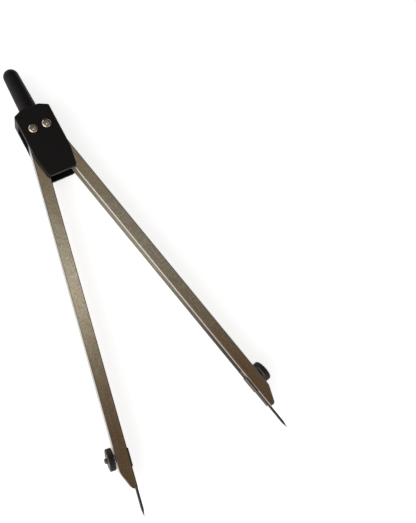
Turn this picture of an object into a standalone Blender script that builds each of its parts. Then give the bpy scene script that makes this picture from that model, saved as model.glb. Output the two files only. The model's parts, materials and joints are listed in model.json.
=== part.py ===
# A drawing compass in its divider form: two sheet steel legs, a steel point in each, and a black
# fork head with a handle. It lies on its back: +Z leaves the front face, +Y runs along the handle
# and the legs run towards -Y. The origin is on the rear face, midway between the two pivots.
# Lengths are in metres and angles in degrees.
import math

import bmesh
import bpy

# Layout of the pivots and the legs
PIVOT_SPACING = 0.0052
REST_HALF_ANGLE = 11.65
LEG_OUTSET = 0.0006

# Leg channel, folded from sheet and open towards the other leg
LEG_WIDTH = 0.0045
LEG_DEPTH = 0.0058
LEG_REACH = 0.1306
SHEET = 0.0008
BEND_RADIUS = 0.0007
TIP_SLOPE_LENGTH = 0.0064
TIP_SLOPE_WIDTH = 0.0027
TIP_RADIUS = 0.0008
EAR_GAP = 0.0002

# Head and handle
HEAD_WIDTH = 0.0135
FOOT_WIDTH = 0.0109
HEAD_DROP = 0.0186
TAPER_DROP = 0.0105
FOOT_RADIUS = 0.0012
SHOULDER_RISE = 0.0066
SHOULDER_SLOPE = 0.0016
SLOT_TOP_GAP = 0.00065
CHEEK = 0.0014
HEAD_EDGE = 0.0004
HANDLE_RISE = 0.0261
HANDLE_BASE_DIAMETER = 0.0068
HANDLE_TOP_DIAMETER = 0.0058
HANDLE_FILLET = 0.0005

# Pivot rivets and friction washers
RIVET_SHANK_DIAMETER = 0.0019
RIVET_HEAD_DIAMETER = 0.0034
RIVET_HEAD_HEIGHT = 0.0008
RIVET_TAIL_DIAMETER = 0.0030
RIVET_TAIL_HEIGHT = 0.00045
RIVET_TAIL_DEPTH = 0.0001
WASHER_SPACING = 0.0006
WASHER_THICKNESS = 0.0003

# Toothed hinge inside the top of each leg
TOOTH_COUNT = 14
TOOTH_HEIGHT = 0.00062
TOOTH_BACKLASH = 0.00008
HINGE_REACH = 0.0105
HINGE_PIN_REACH = 0.0078
HINGE_PIN_DIAMETER = 0.0012

# Needle and its clamp
NEEDLE_PROJECTION = 0.0103
NEEDLE_DIAMETER = 0.0010
NEEDLE_POINT_LENGTH = 0.0026
NEEDLE_INSET = 0.00027
CLAMP_SETBACK = 0.0112
BLOCK_HEEL = 0.0050
CLAMP_PLATE_LENGTH = 0.0063
CLAMP_PLATE_HEEL = 0.0021
CLAMP_PLATE_PLAY = 0.0002
CLAMP_PLATE_THICKNESS = 0.00075
SCREW_DIAMETER = 0.0020
SCREW_STUB = 0.0010
BUSH_DIAMETER = 0.0034
BUSH_LENGTH = 0.0004
NUT_DIAMETER = 0.0078
NUT_THICKNESS = 0.00225
NUT_CHAMFER = 0.0003
KNURL_COUNT = 40
KNURL_DEPTH = 0.00016

# Clearances, and how far a cutter runs past what it cuts
SEAT_GAP = 0.00005
RUN_GAP = 0.0001
OVERRUN = 0.001
WELD = 0.000002

# Depths and places worked out from the values above
HEAD_DEPTH = 2 * CHEEK + 2 * WASHER_THICKNESS + 4 * RUN_GAP + LEG_DEPTH
MIDDLE = HEAD_DEPTH / 2
PIVOT_X = PIVOT_SPACING / 2
EAR_RADIUS = PIVOT_X - EAR_GAP
WASHER_DIAMETER = PIVOT_SPACING - WASHER_SPACING
CAVITY_DEPTH = LEG_DEPTH - 2 * SHEET
CORE_DEPTH = CAVITY_DEPTH - 2 * RUN_GAP
INNER_EDGE = LEG_OUTSET - LEG_WIDTH / 2
OUTER_EDGE = LEG_OUTSET + LEG_WIDTH / 2
WEB_FACE = OUTER_EDGE - SHEET
SLOT_RISE = OUTER_EDGE + SLOT_TOP_GAP
CLAMP_REACH = LEG_REACH - CLAMP_SETBACK
CLAMP_PLATE_WIDTH = CAVITY_DEPTH - 2 * CLAMP_PLATE_PLAY
NEEDLE_REACH = LEG_REACH + NEEDLE_PROJECTION
NEEDLE_X = INNER_EDGE + NEEDLE_INSET
NEEDLE_BACK = CLAMP_REACH + SCREW_DIAMETER / 2 + RUN_GAP + SEAT_GAP
BLOCK_START = CLAMP_REACH - BLOCK_HEEL
BLOCK_END = LEG_REACH - TIP_SLOPE_LENGTH - RUN_GAP - SEAT_GAP
BLOCK_FACE = NEEDLE_X + RUN_GAP
PLATE_FACE = NEEDLE_X
NUT_FACE = OUTER_EDGE + BUSH_LENGTH + 2 * SEAT_GAP
TOOTH_ROOT = PIVOT_X - TOOTH_HEIGHT / 2 - TOOTH_BACKLASH
RIVET_TAIL_TOP = RIVET_TAIL_DEPTH + RIVET_TAIL_HEIGHT

# From the first to the last tooth, as shares of one tooth's turn past the plane between the legs
TOOTH_ARC_SHARES = (-0.75, 3.25)

# How many sides round shapes have, and the angle in degrees under which edges are shaded smooth
ROUND_STEPS = 32
FINE_STEPS = 20
ARC_STEPS = 6
BEND_STEPS = 3
SMOOTH_ANGLE = 20

SIDES = {"left": -1, "right": 1}


def clear_scene():
    for thing in list(bpy.data.objects):
        bpy.data.objects.remove(thing, do_unlink=True)


def new_collection(name, hidden=False):
    collection = bpy.data.collections.new(name)
    bpy.context.scene.collection.children.link(collection)
    collection.hide_render = hidden
    return collection


def new_material(name, color, roughness, metallic):
    material = bpy.data.materials.new(name)
    material.use_nodes = True
    shader = material.node_tree.nodes["Principled BSDF"]
    shader.inputs["Base Color"].default_value = (*color, 1.0)
    shader.inputs["Roughness"].default_value = roughness
    shader.inputs["Metallic"].default_value = metallic
    return material


def new_object(name, mesh, collection, material=None, parent=None):
    thing = bpy.data.objects.new(name, mesh)
    collection.objects.link(thing)
    thing.parent = parent
    if material:
        mesh.materials.append(material)
    else:
        thing.hide_render = True
        thing.display_type = "WIRE"
    return thing


def shade_round(thing):
    """Applies the modifiers and shades the finished shape smooth, but for its sharp edges."""
    bpy.context.view_layer.update()
    ready = thing.evaluated_get(bpy.context.evaluated_depsgraph_get())
    mesh = bpy.data.meshes.new_from_object(ready)
    thing.modifiers.clear()
    thing.data = mesh
    thing.data.shade_smooth()
    thing.data.set_sharp_from_angle(angle=math.radians(SMOOTH_ANGLE))


def arc(center, radius, start, end, steps, height=None):
    """Points of an arc from one angle to another in degrees, of an ellipse where a height is given."""
    height = height or radius
    points = []
    for i in range(steps + 1):
        angle = math.radians(start + (end - start) * i / steps)
        points.append((center[0] + radius * math.cos(angle), center[1] + height * math.sin(angle)))
    return points


def circle(center, radius, steps):
    return arc(center, radius, 0, 360, steps)[:-1]


def foot_corner(x, drop, radius, lean):
    """Rounds the lower right corner of an outline, whose side leans outwards by so many degrees."""
    back = radius * math.tan(math.radians(90 - lean) / 2)
    return arc((x - back, radius - drop), radius, -90, -lean, ARC_STEPS)


def dome(radius, base, height):
    """The profile of a rounded end, from its top on the axis down to its edge at the base."""
    return [(0, base + height)] + arc((0, base), radius, 90, 0, ARC_STEPS, height)[1:]


def flat_mesh(name, loops, depth):
    """A plate of even depth about Z = 0: the first loop is its outline, the others are holes."""
    curve = bpy.data.curves.new(name, "CURVE")
    curve.dimensions = "2D"
    curve.fill_mode = "BOTH"
    curve.extrude = depth / 2
    for loop in loops:
        spline = curve.splines.new("POLY")
        spline.points.add(len(loop) - 1)
        spline.use_cyclic_u = True
        for point, (x, y) in zip(spline.points, loop):
            point.co = (x, y, 0, 1)
    thing = bpy.data.objects.new(name, curve)
    bpy.context.scene.collection.objects.link(thing)
    bpy.context.view_layer.update()
    ready = thing.evaluated_get(bpy.context.evaluated_depsgraph_get())
    mesh = bpy.data.meshes.new_from_object(ready)
    bpy.data.objects.remove(thing, do_unlink=True)
    shape = bmesh.new()
    shape.from_mesh(mesh)
    bmesh.ops.remove_doubles(shape, verts=shape.verts, dist=WELD)
    bmesh.ops.recalc_face_normals(shape, faces=shape.faces)
    shape.to_mesh(mesh)
    shape.free()
    return mesh


def is_cap(face):
    return abs(face.normal.z) > 0.5


def round_rims(mesh, width, segments, wanted):
    """Rounds the edges between a plate's flat faces and the sides whose normal passes the test."""
    shape = bmesh.new()
    shape.from_mesh(mesh)
    flat = math.radians(1)
    bmesh.ops.dissolve_limit(shape, angle_limit=flat, verts=shape.verts, edges=shape.edges)
    rims = []
    for edge in shape.edges:
        caps = [face for face in edge.link_faces if is_cap(face)]
        walls = [face for face in edge.link_faces if not is_cap(face)]
        if len(caps) == 1 and len(walls) == 1 and wanted(walls[0].normal):
            rims.append(edge)
    bmesh.ops.bevel(
        shape, geom=rims, offset=width, offset_type="OFFSET", segments=segments,
        profile=0.5, affect="EDGES", material=-1, clamp_overlap=True,
    )
    shape.to_mesh(mesh)
    shape.free()


def box_mesh(name, low, high):
    """A box from its lowest to its highest corner."""
    shape = bmesh.new()
    bmesh.ops.create_cube(shape, size=1)
    size = [b - a for a, b in zip(low, high)]
    middle = [(a + b) / 2 for a, b in zip(low, high)]
    bmesh.ops.scale(shape, vec=size, verts=shape.verts)
    bmesh.ops.translate(shape, vec=middle, verts=shape.verts)
    mesh = bpy.data.meshes.new(name)
    shape.to_mesh(mesh)
    shape.free()
    return mesh


def turn(thing, steps):
    """Turns a profile in XZ, drawn down its outer side, into a round solid about Z."""
    screw = thing.modifiers.new("turn", "SCREW")
    screw.axis = "Z"
    screw.steps = steps
    screw.render_steps = steps
    screw.use_merge_vertices = True
    screw.merge_threshold = WELD
    return thing


def profile_mesh(name, points, closed=False):
    """A line of points (radius, height), joined end to end when it is closed."""
    edges = [(i, i + 1) for i in range(len(points) - 1)]
    if closed:
        edges.append((len(points) - 1, 0))
    mesh = bpy.data.meshes.new(name)
    mesh.from_pydata([(radius, 0, height) for radius, height in points], edges, [])
    return mesh


def turned(name, points, collection, material=None, parent=None, closed=False, steps=ROUND_STEPS):
    mesh = profile_mesh(name, points, closed)
    return turn(new_object(name, mesh, collection, material, parent), steps)


def ring_profile(inner, outer, low, high):
    return [(outer, high), (outer, low), (inner, low), (inner, high)]


def rod_profile(radius, low, high):
    return [(0, high), (radius, high), (radius, low), (0, low)]


def join(thing, other, operation):
    boolean = thing.modifiers.new(operation.lower(), "BOOLEAN")
    boolean.operation = operation
    boolean.solver = "EXACT"
    boolean.object = other


def cut_turned(thing, name, profile, cutters, location, rotation=(0, 0, 0), parent=None):
    """Cuts a round shape, whose profile turns about the cutter's Z."""
    cutter = turned(name, profile, cutters, parent=parent)
    cutter.location = location
    cutter.rotation_euler = rotation
    join(thing, cutter, "DIFFERENCE")


def cut_hole(thing, name, radius, low, high, cutters, location, rotation=(0, 0, 0), parent=None):
    """Cuts a round hole that runs along the cutter's Z from low to high."""
    cut_turned(thing, name, rod_profile(radius, low, high), cutters, location, rotation, parent)


def head_outline():
    half = HEAD_WIDTH / 2
    foot = FOOT_WIDTH / 2
    neck = HANDLE_BASE_DIAMETER / 2
    lean = math.degrees(math.atan2(half - foot, HEAD_DROP - TAPER_DROP))
    right = foot_corner(foot, HEAD_DROP, FOOT_RADIUS, lean) + [
        (half, -TAPER_DROP),
        (half, SHOULDER_RISE),
        (neck, SHOULDER_RISE + SHOULDER_SLOPE),
    ]
    return right + [(-x, y) for x, y in reversed(right)]


def handle_profile():
    """From the rounded top down the taper to the fillet, and on into the head."""
    base = HANDLE_BASE_DIAMETER / 2
    top = HANDLE_TOP_DIAMETER / 2
    neck = SHOULDER_RISE + SHOULDER_SLOPE
    fillet_center = (base + HANDLE_FILLET, neck + HANDLE_FILLET)
    fillet = arc(fillet_center, HANDLE_FILLET, 180, 240, ARC_STEPS)
    inside = (SLOT_RISE + SHOULDER_RISE) / 2
    return dome(top, HANDLE_RISE - top, top) + fillet + [(fillet[-1][0], inside), (0, inside)]


def rivet_hole_profile():
    """A hole through both cheeks that widens at the rear face into the seat of the rivet's tail."""
    hole = RIVET_SHANK_DIAMETER / 2 + RUN_GAP
    seat = RIVET_TAIL_DIAMETER / 2 + 2 * RUN_GAP
    seat_top = RIVET_TAIL_TOP + SEAT_GAP
    return [
        (0, HEAD_DEPTH + OVERRUN),
        (hole, HEAD_DEPTH + OVERRUN),
        (hole, seat_top),
        (seat, seat_top),
        (seat, -OVERRUN),
        (0, -OVERRUN),
    ]


def build_head(parts, cutters, material):
    mesh = flat_mesh("head_yoke", [head_outline()], HEAD_DEPTH)
    round_rims(mesh, HEAD_EDGE, 2, lambda normal: True)
    head = new_object("head_yoke", mesh, parts, material)
    head.location = (0, 0, MIDDLE)

    handle = turned("handle_core", handle_profile(), cutters)
    handle.location = (0, 0, MIDDLE)
    handle.rotation_euler = (math.radians(-90), 0, 0)
    join(head, handle, "UNION")

    beyond = HEAD_WIDTH / 2 + OVERRUN
    low = (-beyond, -HEAD_DROP - OVERRUN, CHEEK)
    high = (beyond, SLOT_RISE, HEAD_DEPTH - CHEEK)
    slot = new_object("slot_cutter", box_mesh("slot_cutter", low, high), cutters)
    join(head, slot, "DIFFERENCE")

    for side, sign in SIDES.items():
        place = (sign * PIVOT_X, 0, 0)
        cut_turned(head, side + "_rivet_hole", rivet_hole_profile(), cutters, place)
    shade_round(head)


def rivet_profile():
    """Domed head on the front cheek, shank, and a flat tail in its seat in the rear cheek."""
    shank = RIVET_SHANK_DIAMETER / 2
    tail = RIVET_TAIL_DIAMETER / 2
    seat = HEAD_DEPTH + SEAT_GAP
    return dome(RIVET_HEAD_DIAMETER / 2, seat, RIVET_HEAD_HEIGHT) + [
        (shank, seat),
        (shank, RIVET_TAIL_TOP),
        (tail, RIVET_TAIL_TOP),
        (tail, RIVET_TAIL_DEPTH),
        (0, RIVET_TAIL_DEPTH),
    ]


def build_pivot(side, sign, parts, rivet_material, washer_material):
    rivet = turned(side + "_pivot_rivet", rivet_profile(), parts, rivet_material)
    rivet.location = (sign * PIVOT_X, 0, 0)
    shade_round(rivet)
    hole = RIVET_SHANK_DIAMETER / 2 + RUN_GAP
    lows = {"rear": CHEEK + RUN_GAP, "front": HEAD_DEPTH - CHEEK - RUN_GAP - WASHER_THICKNESS}
    for face, low in lows.items():
        ring = ring_profile(hole, WASHER_DIAMETER / 2, low, low + WASHER_THICKNESS)
        name = side + "_" + face + "_friction_washer"
        washer = turned(name, ring, parts, washer_material, closed=True)
        washer.location = (sign * PIVOT_X, 0, 0)
        shade_round(washer)


def leg_outline(sign):
    """The flange's shape in the leg's own frame: pivot at zero, outer side at sign * X, tip at -Y."""
    ear_drop = math.degrees(math.acos(INNER_EDGE / EAR_RADIUS))
    inner_ear = arc((0, 0), EAR_RADIUS, 360 - ear_drop, 90, 2 * ARC_STEPS)
    swell = OUTER_EDGE - EAR_RADIUS
    outer_ear = []
    for i in range(1, ARC_STEPS):
        angle = math.radians(90 * (1 - i / ARC_STEPS))
        radius = EAR_RADIUS + swell * math.cos(angle) ** 2
        outer_ear.append((radius * math.cos(angle), radius * math.sin(angle)))
    slope_start = LEG_REACH - TIP_SLOPE_LENGTH
    tip_x = OUTER_EDGE - TIP_SLOPE_WIDTH
    lean = math.degrees(math.atan2(TIP_SLOPE_WIDTH, TIP_SLOPE_LENGTH))
    tip = foot_corner(tip_x, LEG_REACH, TIP_RADIUS, lean)
    tip.reverse()
    points = inner_ear + outer_ear + [(OUTER_EDGE, 0), (OUTER_EDGE, -slope_start)] + tip
    points.append((INNER_EDGE, -LEG_REACH))
    return [(sign * x, y) for x, y in points]


def cavity_outline(sign):
    """What is cut from between the flanges: all above the pivot, and below it all but the web."""
    slope = TIP_SLOPE_WIDTH / TIP_SLOPE_LENGTH
    stretch = math.hypot(1, slope)
    slope_start = LEG_REACH - TIP_SLOPE_LENGTH
    turn_y = slope_start - SHEET * (stretch - 1) / slope
    end_y = LEG_REACH + OVERRUN
    end_x = OUTER_EDGE - SHEET * stretch - slope * (end_y - slope_start)
    inner = -EAR_RADIUS - OVERRUN
    top = EAR_RADIUS + OVERRUN
    outer = OUTER_EDGE + OVERRUN
    points = [
        (inner, -end_y),
        (inner, top),
        (outer, top),
        (outer, 0),
        (WEB_FACE, 0),
        (WEB_FACE, -turn_y),
        (end_x, -end_y),
    ]
    return [(sign * x, y) for x, y in points]


def build_channel(side, sign, parts, cutters, material, frame):
    name = side + "_leg_channel"
    mesh = flat_mesh(name, [leg_outline(sign)], LEG_DEPTH)
    round_rims(mesh, BEND_RADIUS, BEND_STEPS, lambda normal: sign * normal.x > 0.5 and normal.y < 0.3)
    channel = new_object(name, mesh, parts, material, frame)
    channel.location = (0, 0, MIDDLE)

    cavity_mesh = flat_mesh(side + "_cavity", [cavity_outline(sign)], CAVITY_DEPTH)
    cavity = new_object(side + "_cavity", cavity_mesh, cutters, parent=frame)
    cavity.location = (0, 0, MIDDLE)
    join(channel, cavity, "DIFFERENCE")

    reach = LEG_DEPTH / 2 + OVERRUN
    pivot = RIVET_SHANK_DIAMETER / 2 + RUN_GAP
    pin = HINGE_PIN_DIAMETER / 2 + SEAT_GAP
    screw = SCREW_DIAMETER / 2 + RUN_GAP
    pin_place = (sign * LEG_OUTSET, -HINGE_PIN_REACH, MIDDLE)
    web_place = (sign * WEB_FACE, -CLAMP_REACH, MIDDLE)
    across = (0, sign * math.radians(90), 0)
    through = SHEET + OVERRUN
    cut_hole(channel, side + "_pivot_hole", pivot, -reach, reach, cutters, (0, 0, MIDDLE), parent=frame)
    cut_hole(channel, side + "_pin_hole", pin, -reach, reach, cutters, pin_place, parent=frame)
    cut_hole(channel, side + "_web_hole", screw, -OVERRUN, through, cutters, web_place, across, frame)
    shade_round(channel)


def tooth_radius(angle, phase):
    """Rounded teeth whose hills meet the other hinge's valleys, and the root radius past them."""
    start, end = (share * math.tau / TOOTH_COUNT for share in TOOTH_ARC_SHARES)
    if not start < angle < end:
        return TOOTH_ROOT
    wave = math.cos(TOOTH_COUNT * angle + phase)
    return TOOTH_ROOT + TOOTH_HEIGHT * (1 + wave) / 2


def hinge_outline(sign):
    """A toothed disc about the pivot with a tongue that runs down inside the channel."""
    outer = WEB_FACE - RUN_GAP
    inner = INNER_EDGE + RUN_GAP
    half_tooth = math.pi if sign < 0 else 0
    phase = half_tooth - TOOTH_COUNT * math.radians(REST_HALF_ANGLE)
    low = -math.acos(-inner / TOOTH_ROOT)
    high = math.pi - math.acos(min(1, outer / TOOTH_ROOT))
    steps = ARC_STEPS * TOOTH_COUNT
    points = [(inner, -HINGE_REACH)]
    for i in range(steps + 1):
        angle = low + (high - low) * i / steps
        radius = tooth_radius(angle, phase)
        points.append((-radius * math.cos(angle), radius * math.sin(angle)))
    points.append((outer, -HINGE_REACH))
    return [(sign * x, y) for x, y in points]


def build_hinge(side, sign, parts, material, pin_material, frame):
    pivot = RIVET_SHANK_DIAMETER / 2 + RUN_GAP
    pin = HINGE_PIN_DIAMETER / 2
    pin_x = sign * LEG_OUTSET
    loops = [
        hinge_outline(sign),
        circle((0, 0), pivot, ROUND_STEPS),
        circle((pin_x, -HINGE_PIN_REACH), pin + SEAT_GAP, FINE_STEPS),
    ]
    name = side + "_toothed_hinge"
    hinge = new_object(name, flat_mesh(name, loops, CORE_DEPTH), parts, material, frame)
    hinge.location = (0, 0, MIDDLE)
    shade_round(hinge)

    profile = rod_profile(pin, -LEG_DEPTH / 2, LEG_DEPTH / 2)
    rod = turned(side + "_hinge_pin", profile, parts, pin_material, frame, steps=FINE_STEPS)
    rod.location = (pin_x, -HINGE_PIN_REACH, MIDDLE)
    shade_round(rod)


def needle_profile():
    """Drawn from its blunt back end to the point, which is the far end along Z."""
    radius = NEEDLE_DIAMETER / 2
    length = NEEDLE_REACH - NEEDLE_BACK
    return [(0, length), (radius, length - NEEDLE_POINT_LENGTH), (radius, 0), (0, 0)]


def cut_groove(thing, name, sign, low, high, cutters, frame):
    """Half of the round channel that the needle lies in, between two distances from the pivot."""
    place = (sign * NEEDLE_X, 0, MIDDLE)
    along = (math.radians(90), 0, 0)
    cut_hole(thing, name, NEEDLE_DIAMETER / 2 + SEAT_GAP, low, high, cutters, place, along, frame)


def build_block(side, sign, parts, cutters, material, frame):
    """The anvil behind the needle, held between the flanges, with a hole for the clamp screw."""
    name = side + "_needle_block"
    half = CORE_DEPTH / 2
    sides = sorted((sign * BLOCK_FACE, sign * (WEB_FACE - SEAT_GAP)))
    low = (sides[0], -BLOCK_END, MIDDLE - half)
    high = (sides[1], -BLOCK_START, MIDDLE + half)
    block = new_object(name, box_mesh(name, low, high), parts, material, frame)
    screw = SCREW_DIAMETER / 2 + RUN_GAP
    place = (0, -CLAMP_REACH, MIDDLE)
    across = (0, math.radians(90), 0)
    groove_end = BLOCK_END + OVERRUN
    cut_hole(block, side + "_block_hole", screw, -LEG_WIDTH, LEG_WIDTH, cutters, place, across, frame)
    cut_groove(block, side + "_block_groove", sign, CLAMP_REACH, groove_end, cutters, frame)


def screw_profile():
    """The clamp screw's shank along Z, from inside its plate to the rounded end past the nut."""
    radius = SCREW_DIAMETER / 2
    crown = radius / 2
    base = NUT_FACE + NUT_THICKNESS + SCREW_STUB - crown
    start = PLATE_FACE - CLAMP_PLATE_THICKNESS / 2
    return dome(radius, base, crown) + [(radius, start), (0, start)]


def build_clamp_screw(side, sign, parts, cutters, material, frame):
    """A plate that draws the needle onto its block, on the screw that carries the nut."""
    name = side + "_clamp_screw"
    half = CLAMP_PLATE_WIDTH / 2
    sides = sorted((sign * PLATE_FACE, sign * (PLATE_FACE - CLAMP_PLATE_THICKNESS)))
    low = (sides[0], CLAMP_PLATE_HEEL - CLAMP_PLATE_LENGTH, -half)
    high = (sides[1], CLAMP_PLATE_HEEL, half)
    plate = new_object(name, box_mesh(name, low, high), parts, material, frame)
    plate.location = (0, -CLAMP_REACH, MIDDLE)
    shank = turned(side + "_shank_core", screw_profile(), cutters, parent=frame)
    shank.location = (0, -CLAMP_REACH, MIDDLE)
    shank.rotation_euler = (0, sign * math.radians(90), 0)
    join(plate, shank, "UNION")
    groove_start = NEEDLE_BACK - RUN_GAP
    groove_end = CLAMP_REACH + CLAMP_PLATE_LENGTH + OVERRUN
    cut_groove(plate, side + "_plate_groove", sign, groove_start, groove_end, cutters, frame)
    shade_round(plate)


def knurl_outline():
    """A round outline with even ridges, as wide as the nut at their crests."""
    points = []
    for i in range(2 * KNURL_COUNT):
        angle = math.pi * i / KNURL_COUNT
        radius = NUT_DIAMETER / 2 - KNURL_DEPTH * (i % 2)
        points.append((radius * math.cos(angle), radius * math.sin(angle)))
    return points


def nut_profile():
    """A cylinder of the nut's thickness, chamfered where it meets the nut's faces."""
    half = NUT_THICKNESS / 2
    rim = NUT_DIAMETER / 2 - NUT_CHAMFER
    wide = NUT_DIAMETER / 2 + NUT_CHAMFER
    return [
        (0, half + NUT_CHAMFER),
        (rim, half + NUT_CHAMFER),
        (wide, half - NUT_CHAMFER),
        (wide, NUT_CHAMFER - half),
        (rim, -half - NUT_CHAMFER),
        (0, -half - NUT_CHAMFER),
    ]


def build_nut(side, sign, parts, cutters, material, bush_material, frame):
    """The knurled nut, and the bush that keeps it off the leg."""
    hole = SCREW_DIAMETER / 2 + SEAT_GAP
    outward = (0, sign * math.radians(90), 0)
    bush_low = OUTER_EDGE + SEAT_GAP
    bush_ring = ring_profile(hole, BUSH_DIAMETER / 2, bush_low, bush_low + BUSH_LENGTH)
    bush = turned(side + "_clamp_bush", bush_ring, parts, bush_material, frame, closed=True)
    bush.location = (0, -CLAMP_REACH, MIDDLE)
    bush.rotation_euler = outward
    shade_round(bush)

    name = side + "_knurled_nut"
    loops = [knurl_outline(), circle((0, 0), hole, ROUND_STEPS)]
    nut = new_object(name, flat_mesh(name, loops, NUT_THICKNESS), parts, material, frame)
    nut.location = (sign * (NUT_FACE + NUT_THICKNESS / 2), -CLAMP_REACH, MIDDLE)
    nut.rotation_euler = outward
    steps = 2 * KNURL_COUNT
    envelope = turned(side + "_nut_envelope", nut_profile(), cutters, parent=frame, steps=steps)
    envelope.location = nut.location
    envelope.rotation_euler = outward
    join(nut, envelope, "INTERSECT")
    shade_round(nut)


def build_needle(side, sign, parts, material, frame):
    name = side + "_needle"
    needle = turned(name, needle_profile(), parts, material, frame, steps=FINE_STEPS)
    needle.location = (sign * NEEDLE_X, -NEEDLE_BACK, MIDDLE)
    needle.rotation_euler = (math.radians(90), 0, 0)
    shade_round(needle)


def build_leg(side, sign, parts, cutters, looks):
    """One leg with all that it carries, in a frame on its pivot that is turned to the rest angle."""
    frame = bpy.data.objects.new(side + "_leg_pivot", None)
    parts.objects.link(frame)
    frame.location = (sign * PIVOT_X, 0, 0)
    frame.rotation_euler = (0, 0, sign * math.radians(REST_HALF_ANGLE))
    build_channel(side, sign, parts, cutters, looks["leg_steel"], frame)
    build_hinge(side, sign, parts, looks["hinge_brass"], looks["bright_steel"], frame)
    build_block(side, sign, parts, cutters, looks["block_steel"], frame)
    build_clamp_screw(side, sign, parts, cutters, looks["bright_steel"], frame)
    build_nut(side, sign, parts, cutters, looks["dark_metal"], looks["bright_steel"], frame)
    build_needle(side, sign, parts, looks["needle_steel"], frame)


def main():
    clear_scene()
    parts = new_collection("divider")
    cutters = new_collection("cutters", hidden=True)
    looks = {
        "black_plastic": new_material("black_plastic", (0.012, 0.011, 0.011), 0.42, 0.0),
        "rivet_nickel": new_material("rivet_nickel", (0.72, 0.64, 0.50), 0.28, 1.0),
        "washer_nylon": new_material("washer_nylon", (0.75, 0.73, 0.68), 0.5, 0.0),
        "leg_steel": new_material("leg_steel", (0.42, 0.37, 0.29), 0.38, 1.0),
        "hinge_brass": new_material("hinge_brass", (0.66, 0.52, 0.28), 0.4, 1.0),
        "block_steel": new_material("block_steel", (0.40, 0.38, 0.34), 0.45, 1.0),
        "bright_steel": new_material("bright_steel", (0.80, 0.79, 0.77), 0.22, 1.0),
        "dark_metal": new_material("dark_metal", (0.10, 0.08, 0.06), 0.4, 1.0),
        "needle_steel": new_material("needle_steel", (0.20, 0.20, 0.19), 0.35, 1.0),
    }
    build_head(parts, cutters, looks["black_plastic"])
    for side, sign in SIDES.items():
        build_pivot(side, sign, parts, looks["rivet_nickel"], looks["washer_nylon"])
        build_leg(side, sign, parts, cutters, looks)


main()
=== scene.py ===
# Drawing compass in its divider form: fine shapes, finishes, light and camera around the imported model
import json
import math

import bmesh
import bpy
from mathutils import Matrix, Vector


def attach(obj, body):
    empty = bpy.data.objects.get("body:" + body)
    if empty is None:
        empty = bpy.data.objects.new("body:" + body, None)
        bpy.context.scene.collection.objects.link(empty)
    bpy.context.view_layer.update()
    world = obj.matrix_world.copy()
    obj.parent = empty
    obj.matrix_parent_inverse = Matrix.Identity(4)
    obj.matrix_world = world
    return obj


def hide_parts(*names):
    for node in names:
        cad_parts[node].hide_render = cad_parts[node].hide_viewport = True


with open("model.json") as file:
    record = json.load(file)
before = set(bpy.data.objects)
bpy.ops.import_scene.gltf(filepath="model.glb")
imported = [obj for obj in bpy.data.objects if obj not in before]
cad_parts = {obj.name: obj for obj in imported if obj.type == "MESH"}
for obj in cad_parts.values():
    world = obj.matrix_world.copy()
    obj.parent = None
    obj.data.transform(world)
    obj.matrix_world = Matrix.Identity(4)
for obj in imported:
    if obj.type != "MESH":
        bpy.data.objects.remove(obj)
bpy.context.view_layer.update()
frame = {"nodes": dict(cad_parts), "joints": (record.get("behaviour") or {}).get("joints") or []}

scene = bpy.context.scene
joints = {joint["name"]: joint for joint in frame["joints"]}
sides = ("left", "right")
mergeDistance = 1e-7

# turns that lay a shape's Z outwards across a leg, or along the leg towards its point
zOutwards = Matrix.Rotation(math.radians(90), 4, "Y")
zToPoint = Matrix.Rotation(math.radians(90), 4, "X")


# Places and sizes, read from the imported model

def pivotPlace(side):
    return Vector(joints[side + "_leg_swing"]["pos_m"])


def legPlace(side):
    # a leg's own frame: X outwards, Y back towards the head, Z up, zero in the middle of its pivot
    outward = Vector(joints[side + "_clamp_slide"]["axis"])
    along = Vector(joints[side + "_needle_slide"]["axis"])
    turn = Matrix((outward, -along, Vector((0, 0, 1)))).transposed()
    return Matrix.Translation(pivotPlace(side)) @ turn.to_4x4()


def measure(node, place=Matrix()):
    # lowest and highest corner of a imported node, in the frame of place
    back = place.inverted()
    points = [back @ vertex.co for vertex in frame["nodes"][node].data.vertices]
    low = Vector([min(point[i] for point in points) for i in range(3)])
    high = Vector([max(point[i] for point in points) for i in range(3)])
    return low, high


def measureInLeg(side, part):
    return measure(side + "_" + part, legPlace(side))


def screwDistance(side):
    # where the clamp screw crosses the leg, along the leg's Y
    low, high = measureInLeg(side, "clamp_bush")
    return (low.y + high.y) / 2


def acrossPlace(side):
    # in the leg's frame: Z runs outwards through the clamp screw, from the middle of the leg
    return Matrix.Translation((0, screwDistance(side), 0)) @ zOutwards


# Modelling helpers

def cleaned(shape):
    bmesh.ops.remove_doubles(shape, verts=shape.verts, dist=mergeDistance)
    bmesh.ops.recalc_face_normals(shape, faces=shape.faces)
    return shape


def roundCorner(shape, vert, setback, segments):
    bmesh.ops.bevel(
        shape, geom=[vert], offset=setback, offset_type="OFFSET", segments=segments,
        profile=0.5, affect="VERTICES", material=-1,
    )


def turned(corners, steps, dome=None, closed=False, segments=5):
    # a round shape about Z from corners (radius, height, rounding), the last being a corner's own radius
    # a dome (radius, base, height) comes before the first corner
    shape = bmesh.new()
    verts = [shape.verts.new((corner[0], 0, corner[1])) for corner in corners]
    ends = verts[1:] + verts[:1] if closed else verts[1:]
    for first, second in zip(verts, ends):
        shape.edges.new((first, second))
    if dome:
        shape.edges.new((domeRim(shape, *dome), verts[0]))
    for vert, corner in zip(verts, corners):
        if corner[2]:
            roundCorner(shape, vert, corner[2], segments)
    return spun(shape, steps)


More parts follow.
